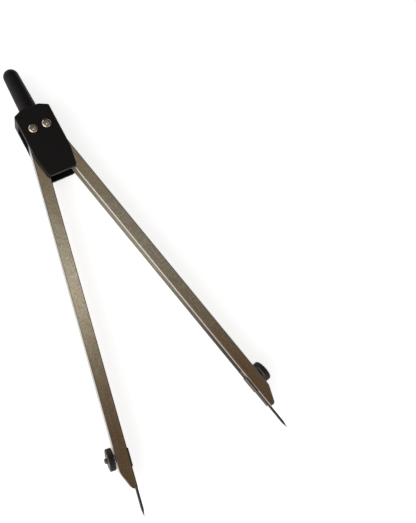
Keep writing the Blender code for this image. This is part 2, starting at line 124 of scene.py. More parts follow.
def domeRim(shape, radius, base, height, segments=16):
    # draws a quarter of an ellipse down from the axis and returns its last vertex
    top = shape.verts.new((0, 0, 1))
    arc = bmesh.ops.spin(
        shape, geom=[top], cent=(0, 0, 0), axis=(0, 1, 0), dvec=(0, 0, 0),
        angle=math.radians(90), steps=segments, use_merge=False, use_duplicate=False,
    )
    rim = arc["geom_last"][0]
    verts = list(connected(top))
    bmesh.ops.scale(shape, vec=(radius, 1, height), verts=verts)
    bmesh.ops.translate(shape, vec=(0, 0, base), verts=verts)
    return rim


def connected(start):
    # every vertex that edges join to the first one
    found, waiting = {start}, [start]
    while waiting:
        for edge in waiting.pop().link_edges:
            for vert in edge.verts:
                if vert not in found:
                    found.add(vert)
                    waiting.append(vert)
    return found


def spun(shape, steps):
    outline = shape.verts[:] + shape.edges[:]
    bmesh.ops.spin(
        shape, geom=outline, cent=(0, 0, 0), axis=(0, 0, 1), dvec=(0, 0, 0),
        angle=math.tau, steps=steps, use_merge=True, use_duplicate=False,
    )
    return cleaned(shape)


def box(low, high):
    shape = bmesh.new()
    bmesh.ops.create_cube(shape, size=1)
    bmesh.ops.scale(shape, vec=high - low, verts=shape.verts)
    bmesh.ops.translate(shape, vec=(low + high) / 2, verts=shape.verts)
    return shape


def rod(radius, reach, place, steps):
    # a cylinder along the Z of place, as long as twice its reach
    shape = bmesh.new()
    bmesh.ops.create_cone(
        shape, cap_ends=True, segments=steps, radius1=radius, radius2=radius, depth=2 * reach,
    )
    return moved(shape, place)


def moved(shape, place):
    bmesh.ops.transform(shape, matrix=place, verts=shape.verts)
    if place.determinant() < 0:
        bmesh.ops.reverse_faces(shape, faces=shape.faces)
    return shape


def thickened(shape, depth):
    # gives a flat outline its thickness along Z
    region = bmesh.ops.extrude_face_region(shape, geom=shape.faces[:])
    raised = [item for item in region["geom"] if isinstance(item, bmesh.types.BMVert)]
    bmesh.ops.translate(shape, vec=(0, 0, depth), verts=raised)
    return cleaned(shape)


def plate(corners, depth, segments=8):
    # a flat outline of corners (x, y, rounding), as thick as depth about Z = 0
    shape = bmesh.new()
    verts = [shape.verts.new((corner[0], corner[1], -depth / 2)) for corner in corners]
    shape.faces.new(verts)
    for vert, corner in zip(verts, corners):
        if corner[2]:
            roundCorner(shape, vert, corner[2], segments)
    return thickened(shape, depth)


def inOrder(shape):
    # operators leave verts, edges and faces in an order that changes from run to run, and a cut
    # follows that order, so they are put in the order of their places
    for rank, vert in enumerate(sorted(shape.verts, key=lambda vert: vert.co[:])):
        vert.index = rank
    shape.verts.sort()
    for parts in (shape.edges, shape.faces):
        corners = {part: sorted(vert.index for vert in part.verts) for part in parts}
        for rank, part in enumerate(sorted(parts, key=corners.get)):
            part.index = rank
        parts.sort()
    return shape


def asObject(name, shape):
    mesh = bpy.data.meshes.new(name)
    inOrder(shape).to_mesh(mesh)
    shape.free()
    thing = bpy.data.objects.new(name, mesh)
    scene.collection.objects.link(thing)
    return thing


def carved(shape, tools):
    # joins or cuts the shape with others, each given as (operation, shape)
    base = asObject("blank", shape)
    helpers = []
    for operation, tool in tools:
        helper = asObject("tool", tool)
        boolean = base.modifiers.new(operation.lower(), "BOOLEAN")
        boolean.operation = operation
        boolean.solver = "EXACT"
        boolean.object = helper
        helpers.append(helper)
    bpy.context.view_layer.update()
    ready = base.evaluated_get(bpy.context.evaluated_depsgraph_get())
    mesh = bpy.data.meshes.new_from_object(ready)
    result = bmesh.new()
    result.from_mesh(mesh)
    for thing in [base] + helpers:
        bpy.data.objects.remove(thing, do_unlink=True)
    bpy.data.meshes.remove(mesh)
    return result


def rise(edge):
    return abs(edge.verts[0].co.z - edge.verts[1].co.z)


def middle(edge):
    return (edge.verts[0].co + edge.verts[1].co) / 2


def sharpEdges(shape, wanted=None, degrees=40):
    limit = math.radians(degrees)
    edges = [e for e in shape.edges if len(e.link_faces) == 2 and e.calc_face_angle() > limit]
    return [edge for edge in edges if wanted is None or wanted(edge)]


def rounded(shape, edges, width, segments):
    bmesh.ops.bevel(
        shape, geom=edges, offset=width, offset_type="OFFSET", segments=segments,
        profile=0.5, affect="EDGES", material=-1, clamp_overlap=True,
    )
    return shape


def flattened(shape, degrees=0.5):
    # one face for each flat area
    bmesh.ops.remove_doubles(shape, verts=shape.verts, dist=mergeDistance)
    limit = math.radians(degrees)
    bmesh.ops.dissolve_limit(shape, angle_limit=limit, verts=shape.verts, edges=shape.edges)
    return shape


def cutIn(shape, radius, depth, shareAt):
    # moves the verts of a round rim inwards, by the share of depth that (turn, height) gives
    for vert in shape.verts:
        if vert.co.xy.length > radius - mergeDistance:
            turn = math.atan2(vert.co.y, vert.co.x) / math.tau
            scale = 1 - depth / radius * shareAt(turn, vert.co.z)
            vert.co.x *= scale
            vert.co.y *= scale
    return shape


# Shader helpers

def shaderNode(tree, kind, inputs=None, **options):
    # adds a node, sets its options and fills its inputs with values or links
    made = tree.nodes.new(kind)
    for name, value in options.items():
        setattr(made, name, value)
    for name, value in (inputs or {}).items():
        if isinstance(value, bpy.types.NodeSocket):
            tree.links.new(value, made.inputs[name])
        else:
            made.inputs[name].default_value = value
    return made


def combine(tree, operation, first, second=0.0):
    return shaderNode(tree, "ShaderNodeMath", {0: first, 1: second}, operation=operation).outputs[0]


def spread(tree, share, low, high):
    # a share from 0 to 1 laid out between low and high
    made = shaderNode(tree, "ShaderNodeMapRange", {"Value": share, "To Min": low, "To Max": high})
    return made.outputs["Result"]


def ramp(tree, value, start, end, top=1.0):
    # goes from 0 to top while the value goes from start to end
    made = shaderNode(tree, "ShaderNodeMapRange", {
        "Value": value, "From Min": start, "From Max": end, "To Max": top,
    })
    return made.outputs["Result"]


def mixed(tree, share, first, second):
    # two values
    return shaderNode(tree, "ShaderNodeMix", {0: share, 2: first, 3: second}).outputs[0]


def blended(tree, share, first, second):
    # two colours
    made = shaderNode(tree, "ShaderNodeMix", {0: share, 6: first, 7: second}, data_type="RGBA")
    return made.outputs[2]


def noise(tree, vector, settings):
    return shaderNode(tree, "ShaderNodeTexNoise", {"Vector": vector, **settings}).outputs["Fac"]


def newGroup(name, inputs, outputs):
    tree = bpy.data.node_groups.new(name, "ShaderNodeTree")
    for label, kind, value in inputs:
        socket = tree.interface.new_socket(name=label, in_out="INPUT", socket_type=kind)
        if value is not None:
            socket.default_value = value
    for label in outputs:
        tree.interface.new_socket(name=label, in_out="OUTPUT", socket_type="NodeSocketFloat")
    entry = tree.nodes.new("NodeGroupInput")
    leave = tree.nodes.new("NodeGroupOutput")
    return tree, entry.outputs, leave.inputs


grainSettings = {
    "fine": {"Scale": 1.0, "Detail": 2.0, "Roughness": 0.6},
    "broad": {"Scale": 0.23, "Detail": 1.0, "Roughness": 0.5},
    "fineShare": 0.6,
    "broadShare": 0.4,
}


def grainGroup(settings):
    # fine lines drawn along the vector's Y: tone for colour and gloss, height for bump
    inputs = [
        ("Vector", "NodeSocketVector", None),
        ("Lines", "NodeSocketFloat", 4000.0),
        ("Length", "NodeSocketFloat", 40.0),
    ]
    tree, entry, leave = newGroup("brushedGrain", inputs, ("Tone", "Height"))
    along = combine(tree, "DIVIDE", entry["Lines"], entry["Length"])
    size = shaderNode(tree, "ShaderNodeCombineXYZ", {
        "X": entry["Lines"], "Y": along, "Z": entry["Lines"],
    })
    place = shaderNode(tree, "ShaderNodeVectorMath", {0: entry["Vector"], 1: size.outputs[0]},
                       operation="MULTIPLY").outputs[0]
    fine = noise(tree, place, settings["fine"])
    broad = noise(tree, place, settings["broad"])
    tone = combine(tree, "ADD", combine(tree, "MULTIPLY", fine, settings["fineShare"]),
                   combine(tree, "MULTIPLY", broad, settings["broadShare"]))
    tree.links.new(tone, leave["Tone"])
    tree.links.new(fine, leave["Height"])
    return tree


mottleSettings = {
    "cloud": {"Detail": 4.0, "Roughness": 0.62},
    "cloudStart": 0.3,
    "cloudEnd": 0.7,
    "pitRim": 0.34,
}


def mottleGroup(settings):
    # soft cloudy patches and small pits
    inputs = [
        ("Vector", "NodeSocketVector", None),
        ("Patches", "NodeSocketFloat", 250.0),
        ("Pits", "NodeSocketFloat", 2500.0),
    ]
    tree, entry, leave = newGroup("mottle", inputs, ("Cloud", "Pit"))
    cloud = noise(tree, entry["Vector"], {"Scale": entry["Patches"], **settings["cloud"]})
    spots = shaderNode(tree, "ShaderNodeTexVoronoi", {
        "Vector": entry["Vector"], "Scale": entry["Pits"], "Randomness": 1.0,
    })
    tree.links.new(ramp(tree, cloud, settings["cloudStart"], settings["cloudEnd"]), leave["Cloud"])
    tree.links.new(ramp(tree, spots.outputs["Distance"], settings["pitRim"], 0.0), leave["Pit"])
    return tree


wearSettings = {
    "samples": 6,
    "breaks": {"Detail": 3.0, "Roughness": 0.7},
    "breakLevels": (0.2, 1.8),
}


def wearGroup(settings):
    # a mask that shows where an edge turns, broken up so that it looks rubbed
    inputs = [
        ("Vector", "NodeSocketVector", None),
        ("Width", "NodeSocketFloat", 0.0002),
        ("Gain", "NodeSocketFloat", 4.0),
        ("Breaks", "NodeSocketFloat", 1800.0),
    ]
    tree, entry, leave = newGroup("edgeWear", inputs, ("Mask",))
    soft = shaderNode(tree, "ShaderNodeBevel", {"Radius": entry["Width"]}, samples=settings["samples"])
    surface = tree.nodes.new("ShaderNodeNewGeometry")
    alike = shaderNode(tree, "ShaderNodeVectorMath", {0: soft.outputs[0], 1: surface.outputs["Normal"]},
                       operation="DOT_PRODUCT")
    bend = combine(tree, "SUBTRACT", 1.0, alike.outputs["Value"])
    breaks = noise(tree, entry["Vector"], {"Scale": entry["Breaks"], **settings["breaks"]})
    rubbed = combine(tree, "MULTIPLY", combine(tree, "MULTIPLY", bend, entry["Gain"]),
                     spread(tree, breaks, *settings["breakLevels"]))
    mask = shaderNode(tree, "ShaderNodeClamp", {"Value": rubbed})
    tree.links.new(mask.outputs[0], leave["Mask"])
    return tree


grain = grainGroup(grainSettings)
mottle = mottleGroup(mottleSettings)
edgeWear = wearGroup(wearSettings)


def effect(tree, group, vector, values):
    # places a shared effect in a material, with the material's own values
    return shaderNode(tree, "ShaderNodeGroup", {"Vector": vector, **values}, node_tree=group).outputs


def newMaterial(name, values):
    # values are the shader's plain ones, the same all over the surface
    material = bpy.data.materials.new(name)
    material.use_nodes = True
    tree = material.node_tree
    shader = tree.nodes["Principled BSDF"]
    for label, value in values.items():
        shader.inputs[label].default_value = value
    return material, tree, shader


def objectPlace(tree):
    return tree.nodes.new("ShaderNodeTexCoord").outputs["Object"]


def addBump(tree, shader, height, distance, strength):
    bump = shaderNode(tree, "ShaderNodeBump", {
        "Height": height, "Distance": distance, "Strength": strength,
    })
    tree.links.new(bump.outputs["Normal"], shader.inputs["Normal"])


def addFinish(tree, shader, color, cloud, settings, strength=0.5):
    # colour, gloss and fine relief of a mottled surface
    tree.links.new(color, shader.inputs["Base Color"])
    tree.links.new(spread(tree, cloud["Cloud"], *settings["gloss"]), shader.inputs["Roughness"])
    addBump(tree, shader, cloud["Pit"], settings["relief"], strength)


# Materials

plasticSettings = {
    "black": (0.0104, 0.0073, 0.0076, 1),
    "rubbed": (0.018, 0.016, 0.016, 1),
    "gloss": (0.46, 0.60),
    "shine": 0.2,
    "mottle": {"Patches": 420.0, "Pits": 5200.0},
    "wear": {"Width": 0.00025, "Gain": 3.0, "Breaks": 2600.0},
    "relief": 0.000012,
}


def blackPlastic(settings):
    material, tree, shader = newMaterial("satinBlackPlastic", {"Specular IOR Level": settings["shine"]})
    place = objectPlace(tree)
    cloud = effect(tree, mottle, place, settings["mottle"])
    worn = effect(tree, edgeWear, place, settings["wear"])
    color = blended(tree, worn["Mask"], settings["black"], settings["rubbed"])
    addFinish(tree, shader, color, cloud, settings)
    return material


# starts and ends are distances in the leg's own frame
legSettings = {
    "plate": (0.585, 0.545, 0.425, 1),
    "headTone": (0.64, 0.475, 0.268, 1),
    "headStart": -0.040,
    "headEnd": -0.004,
    "pointTone": (0.345, 0.225, 0.130, 1),
    "pointStart": -0.060,
    "pointEnd": -0.112,
    "rubbed": (0.70, 0.65, 0.56, 1),
    "stain": (0.47, 0.335, 0.195, 1),
    "stainShare": 0.5,
    "patchLevels": (0.78, 1.22),
    "pitLevels": (1.06, 0.78),
    "lineLevels": (0.80, 1.22),
    "webLevels": (0.93, 1.03),
    "inside": (0.62, 0.58, 0.50, 1),
    "insideGloss": 0.6,
    "insideMetal": 0.45,
    # painted shade: the channel's inside darkens towards the point
    "insideShadeTone": (0.22, 0.20, 0.165, 1),
    "insideStart": -0.064,
    "insideEnd": -0.104,
    "insideHeight": 0.00212,
    "insideWidth": 0.0024,
    "cut": (0.40, 0.35, 0.28, 1),
    "cutPlace": 0.0016,
    "cutEnd": 0.00008,
    # painted shade along the open edge, much darker towards the point
    "paintedEdgeShade": (0.52, 0.48, 0.42, 1),
    "paintedEdgeShadeAtPoint": (0.10, 0.082, 0.068, 1),
    "paintedEdgeShadeStart": -0.0013,
    "paintedEdgeShadeEnd": -0.0014,
    "paintedEdgeShadeShare": 0.8,
    # painted shade: the web is darker all along, for the shade it lies in within the head's slot
    "web": (0.34, 0.33, 0.295, 1),
    "webStart": 0.0023,
    "webEnd": 0.0027,
    "gloss": (0.20, 0.32),
    "grain": {"Lines": 3600.0, "Length": 40.0},
    "mottle": {"Patches": 1300.0, "Pits": 1900.0},
    "stains": {"Patches": 330.0, "Pits": 1500.0},
    "wear": {"Width": 0.00015, "Gain": 2.5, "Breaks": 1500.0},
    "relief": 0.000004,
    "reliefStrength": 0.6,
}


def satinNickel(side, settings):
    # nickel plate on sheet steel, brushed along the leg, warmer towards the head and darker towards the
    # point
    material, tree, shader = newMaterial(side + "SatinNickel", {"Metallic": 1.0})
    back = legPlace(side).inverted()
    mirror = round(back.determinant())
    along = shaderNode(tree, "ShaderNodeMapping", {
        "Vector": objectPlace(tree),
        "Location": Vector((back.translation.x * mirror, back.translation.y, back.translation.z)),
        "Rotation": (0, 0, math.atan2(back[1][0], back[1][1])),
    }).outputs[0]
    lines = effect(tree, grain, along, settings["grain"])
    cloud = effect(tree, mottle, along, settings["mottle"])
    stain = effect(tree, mottle, along, settings["stains"])
    worn = effect(tree, edgeWear, along, settings["wear"])

    # masks: inside the channel, on cut edges, near the point or head, on the open edge and the web;
    # painted shade darkens the inside, the open edge and the web
    split = shaderNode(tree, "ShaderNodeSeparateXYZ", {0: along}).outputs
    distance = split["Y"]
    outward = combine(tree, "MULTIPLY", split["X"], mirror)
    height = combine(tree, "ABSOLUTE", split["Z"])
    inner = combine(tree, "MULTIPLY", combine(tree, "LESS_THAN", height, settings["insideHeight"]),
                    combine(tree, "LESS_THAN", outward, settings["insideWidth"]))
    # painted shade inside the channel, deepening towards the point
    insideShade = ramp(tree, distance, settings["insideStart"], settings["insideEnd"])
    legEnd = measureInLeg(side, "leg_channel")[0].y + settings["cutEnd"]
    cut = combine(tree, "MAXIMUM", combine(tree, "LESS_THAN", outward, -settings["cutPlace"]),
                  combine(tree, "LESS_THAN", distance, legEnd))
    nearPoint = ramp(tree, distance, settings["pointStart"], settings["pointEnd"])
    nearHead = ramp(tree, distance, settings["headStart"], settings["headEnd"])
    # painted shade along the open edge
    paintedEdgeShade = ramp(tree, outward, settings["paintedEdgeShadeStart"], settings["paintedEdgeShadeEnd"],
                   settings["paintedEdgeShadeShare"])
    # the web, which gets painted shade
    web = ramp(tree, outward, settings["webStart"], settings["webEnd"])

    # the plate's tone along the leg
    plain = blended(tree, nearHead, settings["plate"], settings["headTone"])
    stainMask = combine(tree, "MULTIPLY", stain["Cloud"], settings["stainShare"])
    plain = blended(tree, stainMask, plain, settings["stain"])
    plain = blended(tree, nearPoint, plain, settings["pointTone"])
    # the painted shade on the open edge darkens further towards the point
    paintedEdgeShadeTone = blended(tree, nearPoint, settings["paintedEdgeShade"], settings["paintedEdgeShadeAtPoint"])
    plain = blended(tree, paintedEdgeShade, plain, paintedEdgeShadeTone)
    # painted shade on the web
    plain = blended(tree, web, plain, settings["web"])

    # speckle and grain over it, quieter on the web
    speckle = combine(tree, "MULTIPLY", spread(tree, cloud["Cloud"], *settings["patchLevels"]),
                      spread(tree, cloud["Pit"], *settings["pitLevels"]))
    quiet = spread(tree, stain["Cloud"], *settings["webLevels"])
    level = combine(tree, "MULTIPLY", mixed(tree, web, speckle, quiet),
                    spread(tree, lines["Tone"], *settings["lineLevels"]))
    shaded = shaderNode(tree, "ShaderNodeVectorMath", {0: plain, "Scale": level}, operation="SCALE")
    edged = blended(tree, worn["Mask"], shaded.outputs[0], settings["rubbed"])
    trimmed = blended(tree, cut, edged, settings["cut"])
    # the channel's inside, with painted shade towards the point
    inside = blended(tree, insideShade, settings["inside"], settings["insideShadeTone"])
    tree.links.new(blended(tree, inner, trimmed, inside), shader.inputs["Base Color"])
    brushed = spread(tree, lines["Tone"], *settings["gloss"])
    tree.links.new(mixed(tree, inner, brushed, settings["insideGloss"]), shader.inputs["Roughness"])
    tree.links.new(spread(tree, inner, 1.0, settings["insideMetal"]), shader.inputs["Metallic"])
    addBump(tree, shader, lines["Height"], settings["relief"], settings["reliefStrength"])
    return material


metalSettings = {
    "rivetNickel": {
        "base": (0.74, 0.62, 0.50, 1), "dull": (0.30, 0.21, 0.15, 1), "dullness": 0.45,
        "rubbed": (0.86, 0.78, 0.68, 1), "gloss": (0.05, 0.11),
        "patches": 900.0, "pits": 5000.0, "relief": 0.000003,
    },
    "brightSteel": {
        "base": (0.74, 0.72, 0.68, 1), "dull": (0.50, 0.46, 0.40, 1), "dullness": 0.5,
        "rubbed": (0.88, 0.87, 0.84, 1), "gloss": (0.18, 0.32),
        "patches": 1200.0, "pits": 6000.0, "relief": 0.000004,
    },
    "blackenedSteel": {
        "base": (0.085, 0.072, 0.064, 1), "dull": (0.045, 0.037, 0.032, 1), "dullness": 0.8,
        "rubbed": (0.26, 0.23, 0.20, 1), "gloss": (0.24, 0.40),
        "patches": 1500.0, "pits": 6000.0, "relief": 0.000006,
    },
    "darkSteel": {
        "base": (0.135, 0.125, 0.118, 1), "dull": (0.080, 0.073, 0.068, 1), "dullness": 0.7,
        "rubbed": (0.28, 0.265, 0.25, 1), "edgeTint": (0.75, 0.72, 0.70, 1), "gloss": (0.34, 0.48),
        "patches": 1500.0, "pits": 6000.0, "relief": 0.000004,
    },
    "needleSteel": {
        "base": (0.090, 0.090, 0.086, 1), "dull": (0.050, 0.050, 0.048, 1), "dullness": 0.6,
        "rubbed": (0.18, 0.18, 0.172, 1), "gloss": (0.24, 0.36),
        "patches": 1800.0, "pits": 7000.0, "relief": 0.000003,
    },
    "milledSteel": {
        "base": (0.25, 0.235, 0.21, 1), "dull": (0.145, 0.135, 0.118, 1), "dullness": 0.7,
        "rubbed": (0.40, 0.38, 0.35, 1), "edgeTint": (0.5, 0.48, 0.45, 1), "gloss": (0.32, 0.48),
        "patches": 900.0, "pits": 4200.0, "relief": 0.000008,
    },
    "stampedBrass": {
        "base": (0.68, 0.52, 0.26, 1), "dull": (0.36, 0.24, 0.11, 1), "dullness": 0.6,
        "rubbed": (0.84, 0.70, 0.42, 1), "gloss": (0.28, 0.46),
        "patches": 600.0, "pits": 3600.0, "relief": 0.000008,
    },
}
metalWear = {"Width": 0.00012, "Gain": 3.0, "Breaks": 3000.0}


def smallMetal(name, settings):
    # turned, stamped or milled metal with dull patches, fine pits and rubbed edges
    material, tree, shader = newMaterial(name, {"Metallic": 1.0})
    if "edgeTint" in settings:
        shader.inputs["Specular Tint"].default_value = settings["edgeTint"]
    place = objectPlace(tree)
    cloud = effect(tree, mottle, place, {"Patches": settings["patches"], "Pits": settings["pits"]})
    worn = effect(tree, edgeWear, place, metalWear)
    patches = combine(tree, "MULTIPLY", cloud["Cloud"], settings["dullness"])
    base = blended(tree, patches, settings["base"], settings["dull"])
    addFinish(tree, shader, blended(tree, worn["Mask"], base, settings["rubbed"]), cloud, settings)
    return material


nylonSettings = {
    "clean": (0.76, 0.74, 0.69, 1),
    "dull": (0.62, 0.59, 0.52, 1),
    "gloss": (0.42, 0.58),
    "mottle": {"Patches": 1500.0, "Pits": 6000.0},
    "relief": 0.000005,
    "reliefStrength": 0.4,
}


def washerNylon(settings):
    material, tree, shader = newMaterial("washerNylon", {})
    cloud = effect(tree, mottle, objectPlace(tree), settings["mottle"])
    color = blended(tree, cloud["Cloud"], settings["clean"], settings["dull"])
    addFinish(tree, shader, color, cloud, settings, settings["reliefStrength"])
    return material


print("Compass: building materials")
looks = {name: smallMetal(name, settings) for name, settings in metalSettings.items()}
looks["blackPlastic"] = blackPlastic(plasticSettings)
looks["washerNylon"] = washerNylon(nylonSettings)
for side in sides:
    looks[side + "Nickel"] = satinNickel(side, legSettings)


# Head and handle

headSettings = {
    "footWidth": 0.0109,
    "footSetback": 0.00103,
    "taperDrop": 0.0105,
    "taperSetback": 0.0012,
    "shoulderRise": 0.0066,
    "shoulderSetback": 0.0003,
    "neckRise": 0.0082,
    "neckWidth": 0.0068,
    "cheek": 0.0014,
    "slotRise": 0.0035,
    "rootRise": 0.0049,
    "rim": 0.0004,
    "rimSegments": 4,
    "slotRim": 0.00012,
    "slotRimSegments": 2,
    "handleTop": 0.0058,
    "fillet": 0.00045,
    "steps": 96,
}


def headShape(settings):
    low, high = measure("head_yoke")
    depth = high.z
    half = high.x
    foot = settings["footWidth"] / 2
    neck = settings["neckWidth"] / 2
    right = [
        (foot, low.y, settings["footSetback"]),
        (half, -settings["taperDrop"], settings["taperSetback"]),
        (half, settings["shoulderRise"], settings["shoulderSetback"]),
        (neck, settings["neckRise"], 0),
    ]
    left = [(-x, y, setback) for x, y, setback in reversed(right)]
    block = plate(right + left, depth)
    rims = sharpEdges(block, lambda edge: rise(edge) < mergeDistance)
    rounded(block, rims, settings["rim"], settings["rimSegments"])
    bmesh.ops.translate(block, vec=(0, 0, depth / 2), verts=block.verts)

    beyond = depth
    slotLow = Vector((low.x - beyond, low.y - beyond, settings["cheek"]))
    slotHigh = Vector((high.x + beyond, settings["slotRise"], depth - settings["cheek"]))
    fork = flattened(carved(block, [("DIFFERENCE", box(slotLow, slotHigh))]))

    def isSlotEdge(edge):
        # carved edges lie a hair off the slot's planes
        place = middle(edge)
        level = min(abs(place.z - settings["cheek"]), abs(depth - settings["cheek"] - place.z))
        return level < mergeDistance * 10 and place.y < settings["slotRise"] - settings["rim"]

    rounded(fork, sharpEdges(fork, isSlotEdge), settings["slotRim"], settings["slotRimSegments"])
    handle = moved(handleShape(settings, high.y), handlePlace(depth))
    tools = [("UNION", handle)]
    for side in sides:
        pivot = pivotPlace(side)
        hole = moved(rivetHole(rivetSettings), Matrix.Translation((pivot.x, pivot.y, 0)))
        tools.append(("DIFFERENCE", hole))
    return carved(fork, tools)


def handlePlace(depth):
    # lays a shape's Z along the head's Y, in the middle of its depth
    return Matrix.Translation((0, 0, depth / 2)) @ Matrix.Rotation(math.radians(-90), 4, "X")


def handleShape(settings, top):
    # runs from its root inside the head to its domed top
    topRadius = settings["handleTop"] / 2
    neck = settings["neckWidth"] / 2
    fillet = settings["fillet"]
    corners = [
        (neck, settings["neckRise"] + fillet / 4, fillet),
        (neck + fillet, settings["neckRise"] + fillet / 4, 0),
        (neck + fillet, settings["neckRise"] - fillet, 0),
        (neck / 2, settings["rootRise"], 0),
        (0, settings["rootRise"], 0),
    ]
    return turned(corners, settings["steps"], dome=(topRadius, top - topRadius, topRadius))


# Rivets and rings

rivetSettings = {
    "shank": 0.00095,
    "hole": 0.00105,
    "rimHeight": 0.00012,
    "rimRounding": 0.00004,
    "gap": 0.00005,
    "tailRadius": 0.0015,
    "tailRim": 0.00005,
    "tailRounding": 0.00012,
    "seatRadius": 0.0017,
    "seatDepth": 0.0006,
    "dimpleRadius": 0.0005,
    "dimpleDepth": 0.00018,
    "dimpleRim": 0.00006,
    "dimpleFoot": 0.00008,
    "steps": 72,
}


def rivetHole(settings):
    depth = measure("head_yoke")[1].z
    corners = [
        (0, 2 * depth, 0),
        (settings["hole"], 2 * depth, 0),
        (settings["hole"], settings["seatDepth"], 0),
        (settings["seatRadius"], settings["seatDepth"], 0),
        (settings["seatRadius"], -depth, 0),
        (0, -depth, 0),
    ]
    return turned(corners, settings["steps"])


def rivetShape(side, settings):
    low, high = measure(side + "_pivot_rivet")
    seat = measure("head_yoke")[1].z
    radius = (high.x - low.x) / 2
    base = seat + settings["rimHeight"]
    under = seat + settings["gap"]
    tailTop = settings["seatDepth"] - settings["gap"]
    dimpleTop = low.z + settings["dimpleDepth"]
    corners = [
        (radius, under, settings["rimRounding"]),
        (settings["shank"], under, 0),
        (settings["shank"], tailTop, 0),
        (settings["tailRadius"], tailTop, settings["tailRim"]),
        (settings["tailRadius"], low.z, settings["tailRounding"]),
        (settings["dimpleRadius"], low.z, settings["dimpleRim"]),
        (settings["dimpleRadius"] / 2, dimpleTop, settings["dimpleFoot"]),
        (0, dimpleTop, 0),
    ]
    return turned(corners, settings["steps"], dome=(radius, base, high.z - base))


washerSettings = {"hole": 0.00105, "rounding": 0.00005, "segments": 3, "steps": 64}
bushSettings = {"hole": 0.00105, "rounding": 0.00008, "segments": 3, "steps": 64}


def ringShape(node, place, settings):
    # a flat ring about the Z of place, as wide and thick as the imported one
    low, high = measure(node, place)
    radius = (high.x - low.x) / 2
    outline = ((radius, high.z), (radius, low.z), (settings["hole"], low.z), (settings["hole"], high.z))
    corners = [(width, height, settings["rounding"]) for width, height in outline]
    return turned(corners, settings["steps"], closed=True, segments=settings["segments"])


# Legs

channelSettings = {
    "sheet": 0.0008,
    "openEdge": -0.00165,
    "bend": 0.0007,
    "bendSegments": 7,
    "bendOutward": 0.5,
    "bendBack": 0.3,
    "innerBend": 0.00018,
    "innerBendSegments": 3,
    "innerEarSteps": 24,
    "outerEarSteps": 12,
    "edgeWidth": 0.00026,
    "edgeFall": 0.00015,
    "edgeEnd": -0.006,
    "slopeLength": 0.0064,
    "slopeWidth": 0.0027,
    "slopeSetback": 0.0005,
    "tipSetback": 0.00055,
    "setbackSegments": 5,
    "pivotHole": 0.00105,
    "pinHole": 0.00062,
    "screwHole": 0.0011,
    "deburr": 0.00008,
    "deburrSegments": 2,
    "deburrDegrees": 50,
    "steps": 48,
}


def arcPoints(shape, start, angle, steps, stretch=1.0):
    # turns a new point about the pivot and returns the arc from its first point to its last
    first = shape.verts.new(start)
    bmesh.ops.spin(
        shape, geom=[first], cent=(0, 0, 0), axis=(0, 0, 1), dvec=(0, 0, 0),
        angle=angle, steps=steps, use_merge=False, use_duplicate=False,
    )
    shape.verts.ensure_lookup_table()
    arc = [first] + list(shape.verts[-steps:])
    bmesh.ops.scale(shape, vec=(stretch, 1, 1), verts=arc)
    return arc


def flangeBlock(low, high, settings):
    # the solid that the channel is cut from: a round ear, straight sides and a sloping tip
    shape = bmesh.new()
    ear, level, edge = high.y, low.z, settings["openEdge"]
    meet = math.acos(edge / ear)
    start = (ear * math.cos(meet), -ear * math.sin(meet), level)
    innerEar = arcPoints(shape, start, meet - math.radians(270), settings["innerEarSteps"])
    outerEar = arcPoints(
        shape, (0, ear, level), math.radians(-90), settings["outerEarSteps"], high.x / ear,
    )
    slopeStart = low.y + settings["slopeLength"]
    tip = high.x - settings["slopeWidth"]
    straight = [
        shape.verts.new((x, y, level))
        for x, y in ((high.x, slopeStart), (tip, low.y), (edge, low.y))
    ]
    outline = innerEar + outerEar + straight
    for first, second in zip(outline, outline[1:] + outline[:1]):
        if shape.edges.get((first, second)) is None:
            shape.edges.new((first, second))
    roundCorner(shape, straight[0], settings["slopeSetback"], settings["setbackSegments"])
    roundCorner(shape, straight[1], settings["tipSetback"], settings["setbackSegments"])
    bmesh.ops.remove_doubles(shape, verts=shape.verts, dist=mergeDistance)
    bmesh.ops.contextual_create(shape, geom=shape.edges[:])
    return thickened(shape, high.z - low.z)


def edgeWedge(low, high, settings, face):
    # takes the corner off a flange along its open edge; face is 1 for the front and -1 for the rear
    width, fall = settings["edgeWidth"], settings["edgeFall"]
    start = settings["openEdge"] + width
    corners = [
        (start + width, face * (high.z + fall), 0),
        (start - 2 * width, face * (high.z - 2 * fall), 0),
        (start - 2 * width, face * (high.z + fall), 0),
    ]
    end, tip = settings["edgeEnd"], low.y - width
    return moved(plate(corners, end - tip), Matrix.Translation((0, (end + tip) / 2, 0)) @ zToPoint)


def channelCavity(low, high, settings):
    # the room inside the folded sheet, open inwards and round the ear, with its bends rounded
    slope = settings["slopeWidth"] / settings["slopeLength"]
    stretch = math.hypot(1, slope)
    slopeStart = low.y + settings["slopeLength"]
    web = high.x - settings["sheet"]
    beyond = high.x
    endX = high.x - settings["sheet"] * stretch - slope * (slopeStart - low.y + beyond)
    corners = [
        (low.x - beyond, low.y - beyond, 0),
        (low.x - beyond, high.y + beyond, 0),
        (high.x + beyond, high.y + beyond, 0),
        (high.x + beyond, 0, 0),
        (web, 0, 0),
        (web, slopeStart + settings["sheet"] * (stretch - 1) / slope, 0),
        (endX, low.y - beyond, 0),
    ]
    cavity = plate(corners, high.z - low.z - 2 * settings["sheet"])

    def isInnerBend(edge):
        place = middle(edge)
        inside = max(vert.co.x for vert in edge.verts) <= web + mergeDistance
        return inside and place.x > 0 and place.y < 0 and rise(edge) < mergeDistance

    inner = sharpEdges(cavity, isInnerBend)
    return rounded(cavity, inner, settings["innerBend"], settings["innerBendSegments"])


